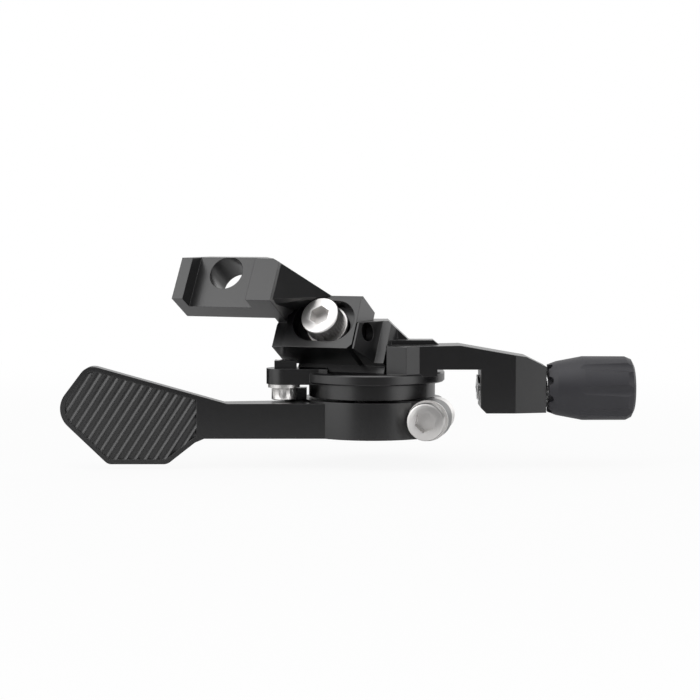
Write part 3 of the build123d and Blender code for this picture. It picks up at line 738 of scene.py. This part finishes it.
@dataclass(frozen=True)
class ThreadedBarrel:
    """The adjuster's barrel, all sizes in millimetres along its axis from under the pivot.

    Args:
        node: The CAD node that it stands for.
        body: The body that it rides on.
        left: Where it starts, inside the housing.
        head_left: Where its thicker head starts, inside the grip.
        right: Where it ends.
        thread: The thread's outer diameter.
        pitch: The thread's pitch.
        depth: The thread's depth, as a share of the pitch.
        crest: The width of the thread's crest, as a share of the pitch.
        head: The head's diameter.
        bevel: The width of the chamfer round the head's end.
        bore: The cable's hole.
        socket: The hole for the cable's housing.
        socket_depth: How deep that hole is.
        across: How far in front of the pivot the axis is.
        drop: How far under the pivot's level the axis is.
        lap: How far the thread reaches into the head.
        spare_turns: Turns that are wound past the thread's ends and cut off.
        turn_steps: How many steps one turn of the thread has.
        head_sides: How many sides the head has.
        bore_sides: How many sides the cable's hole has.
        socket_sides: How many sides the housing's hole has.
    """

    node: str = "adjuster_barrel"
    body: Body = Body.BARREL
    left: float = 22.9
    head_left: float = 39.3
    right: float = 51.3
    thread: float = 6.0
    pitch: float = 1.0
    depth: float = 0.55
    crest: float = 0.2
    head: float = 8.0
    bevel: float = 0.3
    bore: float = 2.0
    socket: float = 5.1
    socket_depth: float = 8.0
    across: float = 6.0
    drop: float = 3.5
    lap: float = 1.0
    spare_turns: int = 2
    turn_steps: int = 36
    head_sides: int = 72
    bore_sides: int = 32
    socket_sides: int = 48

    def build(self) -> bpy.types.Object:
        """Models the barrel.

        Returns:
            The barrel, at its place.
        """
        piece = self._thread()
        length = self.right - self.left
        end = (length + CLEAR) * MM
        head_start = (self.head_left - self.left) * MM
        head = cylinder(self.head / 2 * MM, head_start, length * MM, self.head_sides)
        bpy.ops.object.mode_set(mode="EDIT")
        chamfer_rim(head, length * MM, self.bevel * MM)
        bpy.ops.object.mode_set(mode="OBJECT")
        combine(piece, head, Shaping.JOIN)
        bore = cylinder(self.bore / 2 * MM, -CLEAR * MM, end, self.bore_sides)
        combine(piece, bore, Shaping.CUT)
        mouth = cylinder(self.socket / 2 * MM, (length - self.socket_depth) * MM, end, self.socket_sides)
        combine(piece, mouth, Shaping.CUT)
        axes = body_axes()
        seat(piece, axes.point(self.left, -self.across, -self.drop), axes.x)
        piece.name = f"{self.node}_threaded"
        smooth(piece)
        return piece

    def _profile(self) -> bpy.types.Object:
        """Draws one pitch of the thread's outline: out to the crest, along it and back to the root.

        Its corners get exact places, because rounding in them changes how the thread is cut at its ends.

        Returns:
            The outline, one pitch high, with its top at the origin's level.
        """
        step = self.pitch * MM
        root = (self.thread / 2 - self.depth * self.pitch) * MM
        crest = self.thread / 2 * MM
        flank = (1 - self.crest) / 2 * step
        corners = ((root, -step), (crest, flank - step), (crest, -flank), (root, 0.0))
        deselect()
        bpy.ops.mesh.primitive_plane_add(size=step, location=(root, 0, 0))
        piece = bpy.context.active_object
        bpy.ops.object.transform_apply(location=True, rotation=True, scale=True)
        for vertex, (out, up) in zip(piece.data.vertices, corners):
            vertex.co = (out, 0, up)
        bpy.ops.object.mode_set(mode="EDIT")
        bpy.ops.mesh.select_all(action="SELECT")
        bpy.ops.mesh.delete(type="EDGE_FACE")
        for (_, low), (_, high) in zip(corners, corners[1:]):
            pick(piece, lambda place: low - ON_LINE < place.z < high + ON_LINE)
            bpy.ops.mesh.edge_face_add()
        bpy.ops.object.mode_set(mode="OBJECT")
        return piece

    def _thread(self) -> bpy.types.Object:
        """Winds the thread's outline up the barrel and closes its ends.

        Returns:
            The threaded rod, from the origin up the Z axis.
        """
        step = self.pitch * MM
        length = (self.head_left - self.left + self.lap) * MM
        piece = self._profile()
        winding = piece.modifiers.new("winding", "SCREW")
        winding.screw_offset = step
        winding.iterations = math.ceil(length / step) + self.spare_turns
        winding.steps = self.turn_steps
        winding.render_steps = self.turn_steps
        winding.use_merge_vertices = True
        winding.merge_threshold = ON_LINE
        bpy.ops.object.modifier_apply(modifier=winding.name)
        bpy.ops.object.mode_set(mode="EDIT")
        bpy.ops.mesh.select_all(action="SELECT")
        bpy.ops.mesh.remove_doubles(threshold=ON_LINE)
        for level, outer in ((0.0, False), (length, True)):
            bpy.ops.mesh.select_all(action="SELECT")
            bpy.ops.mesh.bisect(
                plane_co=(0, 0, level),
                plane_no=(0, 0, 1),
                use_fill=True,
                clear_inner=not outer,
                clear_outer=outer,
            )
        bpy.ops.mesh.select_all(action="SELECT")
        bpy.ops.mesh.normals_make_consistent(inside=False)
        bpy.ops.object.mode_set(mode="OBJECT")
        return piece


def screws() -> list[SocketScrew]:
    """Returns the four screws of the lever."""
    bracket = bracket_axes()
    body = body_axes()
    turn = math.radians(PINCH_TURN)
    pinch_out = -(body.x * math.sin(turn) + body.y * math.cos(turn))
    pinch_face = body.point(11.1, -18.0, -9.8)
    pinch_height = 3.5
    return [
        SocketScrew(
            node="clamp_bolt",
            body=Body.FRAME,
            place=bracket.point(20.7, -6.05, -12.4),
            out=bracket.z,
            head=8.5,
            height=5.0,
            shank=5.0,
            length=13.0,
            key=4.0,
            key_depth=2.6,
            ridges=36,
            crown=0.35,
        ),
        SocketScrew(
            node="stop_screw",
            body=Body.FRAME,
            place=body.point(-19.4, -4.65, -3.4),
            out=-body.z,
            head=5.5,
            height=2.7,
            shank=3.0,
            length=6.0,
            key=2.5,
            key_depth=1.2,
            ridges=20,
            crown=0.2,
            knurl=0.925,
        ),
        SocketScrew(
            node="pinch_bolt",
            body=Body.LEVER,
            place=pinch_face - pinch_out * pinch_height,
            out=pinch_out,
            head=8.1,
            height=pinch_height,
            shank=5.0,
            length=13.8,
            key=4.0,
            key_depth=2.0,
            ridges=0,
            crown=0.5,
        ),
        SocketScrew(
            node="axle_bolt",
            body=Body.FRAME,
            place=body.point(0, 0, -13.4),
            out=-body.z,
            head=8.0,
            height=1.4,
            shank=4.0,
            length=7.6,
            key=2.5,
            key_depth=1.0,
            ridges=0,
            crown=0.3,
        ),
    ]


# The studio


@dataclass(frozen=True)
class Viewpoint:
    """The camera, in degrees and millimetres.

    Args:
        azimuth: How far it stands round the object.
        elevation: How high it looks from.
        distance: How far it is from the pivot.
        scale: Pixels per millimetre at the pivot.
        pixel: Where the pivot is in the picture.
        width: The picture's width in pixels.
        sensor: The sensor's width.
        near: Where its view starts, in metres.
        far: Where its view ends, in metres.
    """

    azimuth: float = 23.0
    elevation: float = 4.0
    distance: float = 420.0
    scale: float = 4.5
    pixel: tuple[float, float] = (372.0, 369.9)
    width: int = 700
    sensor: float = 36.0
    near: float = 0.01
    far: float = 50.0

    def axes(self) -> tuple[Vector, Vector, Vector]:
        """Returns the camera's right, up and backward directions."""
        turn = math.radians(self.azimuth)
        right = Vector((math.cos(turn), math.sin(turn), 0))
        back = outward(self.azimuth, self.elevation)
        return right, back.cross(right), back

    def build(self) -> None:
        """Adds the camera and makes it the scene's."""
        right, up, back = self.axes()
        middle = self.width / 2
        across = (self.pixel[0] - middle) / self.scale
        above = (middle - self.pixel[1]) / self.scale
        target = PIVOT - right * across - up * above
        data = bpy.data.cameras.new("camera")
        data.sensor_width = self.sensor
        data.lens = self.scale * self.distance / self.width * data.sensor_width
        data.clip_start = self.near
        data.clip_end = self.far
        camera = bpy.data.objects.new("camera", data)
        bpy.context.scene.collection.objects.link(camera)
        turned = Matrix((right, up, back)).transposed().to_4x4()
        camera.matrix_world = Matrix.Translation((target + back * self.distance) * MM) @ turned
        bpy.context.scene.camera = camera


@dataclass(frozen=True)
class RoundPivot:
    """What a lamp and a card that face the pivot have.

    Args:
        name: Its name.
        azimuth: Its bearing from the camera's, positive to the right, in degrees.
        elevation: Its height over the horizon, in degrees.
        distance: Its distance in metres.
        size: Its width and height in metres.
        level: How bright its face is, where 1 is white.
    """

    name: str
    azimuth: float
    elevation: float
    distance: float
    size: tuple[float, float]
    level: float

    def put(self, thing: bpy.types.Object) -> None:
        """Puts the lamp or card at its place.

        Args:
            thing: The object, whose face looks along its own -Z.
        """
        out = outward(Viewpoint().azimuth + self.azimuth, self.elevation)
        thing.location = PIVOT * MM + out * self.distance
        thing.rotation_euler = out.to_track_quat("Z", "Y").to_euler()


@dataclass(frozen=True)
class Softbox(RoundPivot):
    """A lamp with a flat face."""

    def build(self) -> None:
        """Adds the lamp. Its power is what makes its face as bright as its level says."""
        width, height = self.size
        data = bpy.data.lights.new(self.name, "AREA")
        data.shape = "RECTANGLE"
        data.size = width
        data.size_y = height
        data.energy = self.level * math.pi * width * height
        lamp = bpy.data.objects.new(self.name, data)
        bpy.context.scene.collection.objects.link(lamp)
        self.put(lamp)
        lamp.visible_camera = False


@dataclass(frozen=True)
class Card(RoundPivot):
    """A dark card that only shows in reflections."""

    def build(self) -> None:
        """Adds the card."""
        deselect()
        bpy.ops.mesh.primitive_plane_add(size=1.0)
        card = bpy.context.active_object
        card.name = self.name
        card.scale = (*self.size, 1.0)
        self.put(card)
        only_in_reflections(card, self.level)


@dataclass(frozen=True)
class FloorCard:
    """A dark or bright wedge low over the floor that only shows in reflections.

    Args:
        name: Its name.
        azimuth: The bearing of its middle from the camera's, positive to the right, in degrees.
        spread: Half the angle that it covers, in degrees.
        near: Where it starts from the pivot, in metres.
        far: Where it ends.
        level: How bright it is, where 1 is white.
    """

    name: str
    azimuth: float
    spread: float
    near: float
    far: float
    level: float

    def build(self, height: float) -> None:
        """Adds the wedge.

        Args:
            height: The level that it lies at, in metres.
        """
        middle = (self.near + self.far) / 2
        widening = 2 * math.tan(math.radians(self.spread))
        deselect()
        bpy.ops.mesh.primitive_plane_add(size=1.0)
        card = bpy.context.active_object
        card.name = self.name
        bpy.ops.object.mode_set(mode="EDIT")
        bpy.ops.mesh.select_all(action="SELECT")
        bpy.ops.transform.resize(value=(1.0, self.far - self.near, 1.0), center_override=(0, 0, 0))
        bpy.ops.transform.translate(value=(0, middle, 0))
        pick(card, lambda place: place.y < middle)
        bpy.ops.transform.resize(value=(self.near * widening, 1.0, 1.0), center_override=(0, 0, 0))
        pick(card, lambda place: place.y > middle)
        bpy.ops.transform.resize(value=(self.far * widening, 1.0, 1.0), center_override=(0, 0, 0))
        bpy.ops.object.mode_set(mode="OBJECT")
        card.location = (PIVOT.x * MM, PIVOT.y * MM, height)
        card.rotation_euler = (0, 0, math.radians(Viewpoint().azimuth + self.azimuth) + math.pi)
        only_in_reflections(card, self.level)


def only_in_reflections(card: bpy.types.Object, level: float) -> None:
    """Gives a card its glow and hides it from all but glossy rays.

    Args:
        card: The card.
        level: How bright it is, where 1 is white.
    """
    graph = Graph(bpy.data.materials.new(f"{card.name}_face"))
    glow = graph.add("ShaderNodeEmission", Color=WHITE, Strength=level)
    graph.add("ShaderNodeOutputMaterial", Surface=graph.wire(glow))
    card.data.materials.append(graph.owner)
    card.visible_camera = False
    card.visible_diffuse = False
    card.visible_transmission = False
    card.visible_shadow = False


@dataclass(frozen=True)
class Studio:
    """The pale floor, the white surroundings, the lamps and the cards.

    Args:
        floor_height: The floor's level, in metres.
        floor_size: Its side, in metres.
        floor_shade: How pale it is, where 1 is white.
        card_rise: How far the wedges lie over it, in metres.
        shadow_reach: How far from its middle the shadow shows in full, in metres.
        shadow_end: Where the shadow has faded out, in metres.
        shadow_share: How much of the shadow the camera sees.
        world_light: How bright the surroundings are as a light, where 1 is white.
        lamps: The lamps.
        cards: The cards round the pivot.
        floor_cards: The wedges over the floor.
    """

    floor_height: float = -0.0424
    floor_size: float = 8.0
    floor_shade: float = 0.86
    card_rise: float = 0.0005
    shadow_reach: float = 0.1
    shadow_end: float = 0.3
    shadow_share: float = 0.09
    world_light: float = 0.55
    lamps: tuple[Softbox, ...] = (
        Softbox("lamp_top", azimuth=-20.0, elevation=78.0, distance=0.6, size=(0.5, 0.4), level=1.2),
        Softbox("lamp_left", azimuth=-61.0, elevation=32.0, distance=0.6, size=(0.42, 0.44), level=1.5),
        Softbox("lamp_right", azimuth=54.0, elevation=14.0, distance=0.6, size=(0.3, 0.4), level=1.3),
        Softbox("lamp_back", azimuth=136.0, elevation=16.0, distance=0.6, size=(0.44, 0.4), level=0.45),
    )
    cards: tuple[Card, ...] = (
        Card("card_front", azimuth=-1.0, elevation=3.0, distance=0.62, size=(0.8, 0.66), level=0.12),
        Card("card_right", azimuth=93.0, elevation=22.0, distance=0.62, size=(0.46, 1.2), level=0.02),
        Card("card_left", azimuth=-136.0, elevation=4.0, distance=0.62, size=(0.7, 0.7), level=0.02),
    )
    floor_cards: tuple[FloorCard, ...] = (
        FloorCard("floor_card_front", azimuth=-1.0, spread=32.0, near=0.07, far=0.6, level=0.16),
        FloorCard("floor_card_right", azimuth=92.0, spread=19.0, near=0.1, far=0.6, level=0.02),
        FloorCard("floor_card_left", azimuth=-136.0, spread=29.0, near=0.1, far=0.6, level=0.02),
        FloorCard("floor_glow_left", azimuth=-59.0, spread=22.0, near=0.1, far=0.6, level=1.3),
        FloorCard("floor_glow_right", azimuth=52.0, spread=17.0, near=0.1, far=0.6, level=1.1),
    )

    def build(self) -> None:
        """Adds all of it."""
        self._world()
        self._floor()
        for lamp in self.lamps:
            lamp.build()
        for card in self.cards:
            card.build()
        for floor_card in self.floor_cards:
            floor_card.build(self.floor_height + self.card_rise)

    def _world(self) -> None:
        """Makes the surroundings white to see and to reflect, and softer as a light."""
        world = bpy.data.worlds.new("studio")
        graph = Graph(world)
        world.cycles.sampling_method = "NONE"
        bpy.context.scene.world = world
        path = graph.add("ShaderNodeLightPath")
        seen = graph.wire(path, "Is Camera Ray") | graph.wire(path, "Is Glossy Ray")
        seen = seen | graph.wire(path, "Is Transmission Ray")
        level = graph.add("ShaderNodeMapRange", Value=seen, To_Min=self.world_light, To_Max=1.0)
        glow = graph.add("ShaderNodeBackground", Color=WHITE, Strength=graph.wire(level))
        graph.add("ShaderNodeOutputWorld", Surface=graph.wire(glow))

    def _floor(self) -> None:
        """Lays the pale floor, which takes the object's shadow."""
        deselect()
        bpy.ops.mesh.primitive_plane_add(size=self.floor_size, location=(0, 0, self.floor_height))
        floor = bpy.context.active_object
        floor.name = "floor"
        graph = Graph(bpy.data.materials.new("pale_floor"))
        shade = (self.floor_shade, self.floor_shade, self.floor_shade, 1.0)
        matt = graph.add("ShaderNodeBsdfDiffuse", Color=shade)
        glow = graph.add("ShaderNodeEmission", Color=WHITE, Strength=1.0)
        path = graph.add("ShaderNodeLightPath")
        reach = graph.add("ShaderNodeVectorMath", {"operation": "LENGTH"}, n0=graph.place())
        fade = graph.add(
            "ShaderNodeMapRange",
            {"interpolation_type": "SMOOTHSTEP"},
            Value=graph.wire(reach, "Value"),
            From_Min=self.shadow_reach,
            From_Max=self.shadow_end,
        )
        near = 1.0 - graph.wire(fade)
        seen = graph.wire(path, "Is Camera Ray") * (1.0 - near * self.shadow_share)
        blend = graph.add("ShaderNodeMixShader", n0=seen, n1=graph.wire(matt), n2=graph.wire(glow))
        graph.add("ShaderNodeOutputMaterial", Surface=graph.wire(blend))
        floor.data.materials.append(graph.owner)


def main() -> None:
    """Dresses the CAD solids, adds the new pieces and sets up the studio."""
    logging.basicConfig(level=logging.INFO, format="%(name)s: %(message)s")
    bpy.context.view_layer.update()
    bpy.context.scene.view_settings.view_transform = "Standard"
    slots = {part["node"]: part["material_slot"] for part in frame["record"]["subparts"]}
    wardrobe = Wardrobe()
    for node, piece in frame["nodes"].items():
        wardrobe.dress(piece, slots[node])
        LOG.info("%s wears %s", node, slots[node])
    for maker in (*screws(), ThreadedBarrel()):
        piece = maker.build()
        wardrobe.dress(piece, slots[maker.node])
        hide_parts(maker.node)
        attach(piece, maker.body.value)
        LOG.info("%s stands for %s", piece.name, maker.node)
    Studio().build()
    Viewpoint().build()


if __name__ == "__main__":
    main()
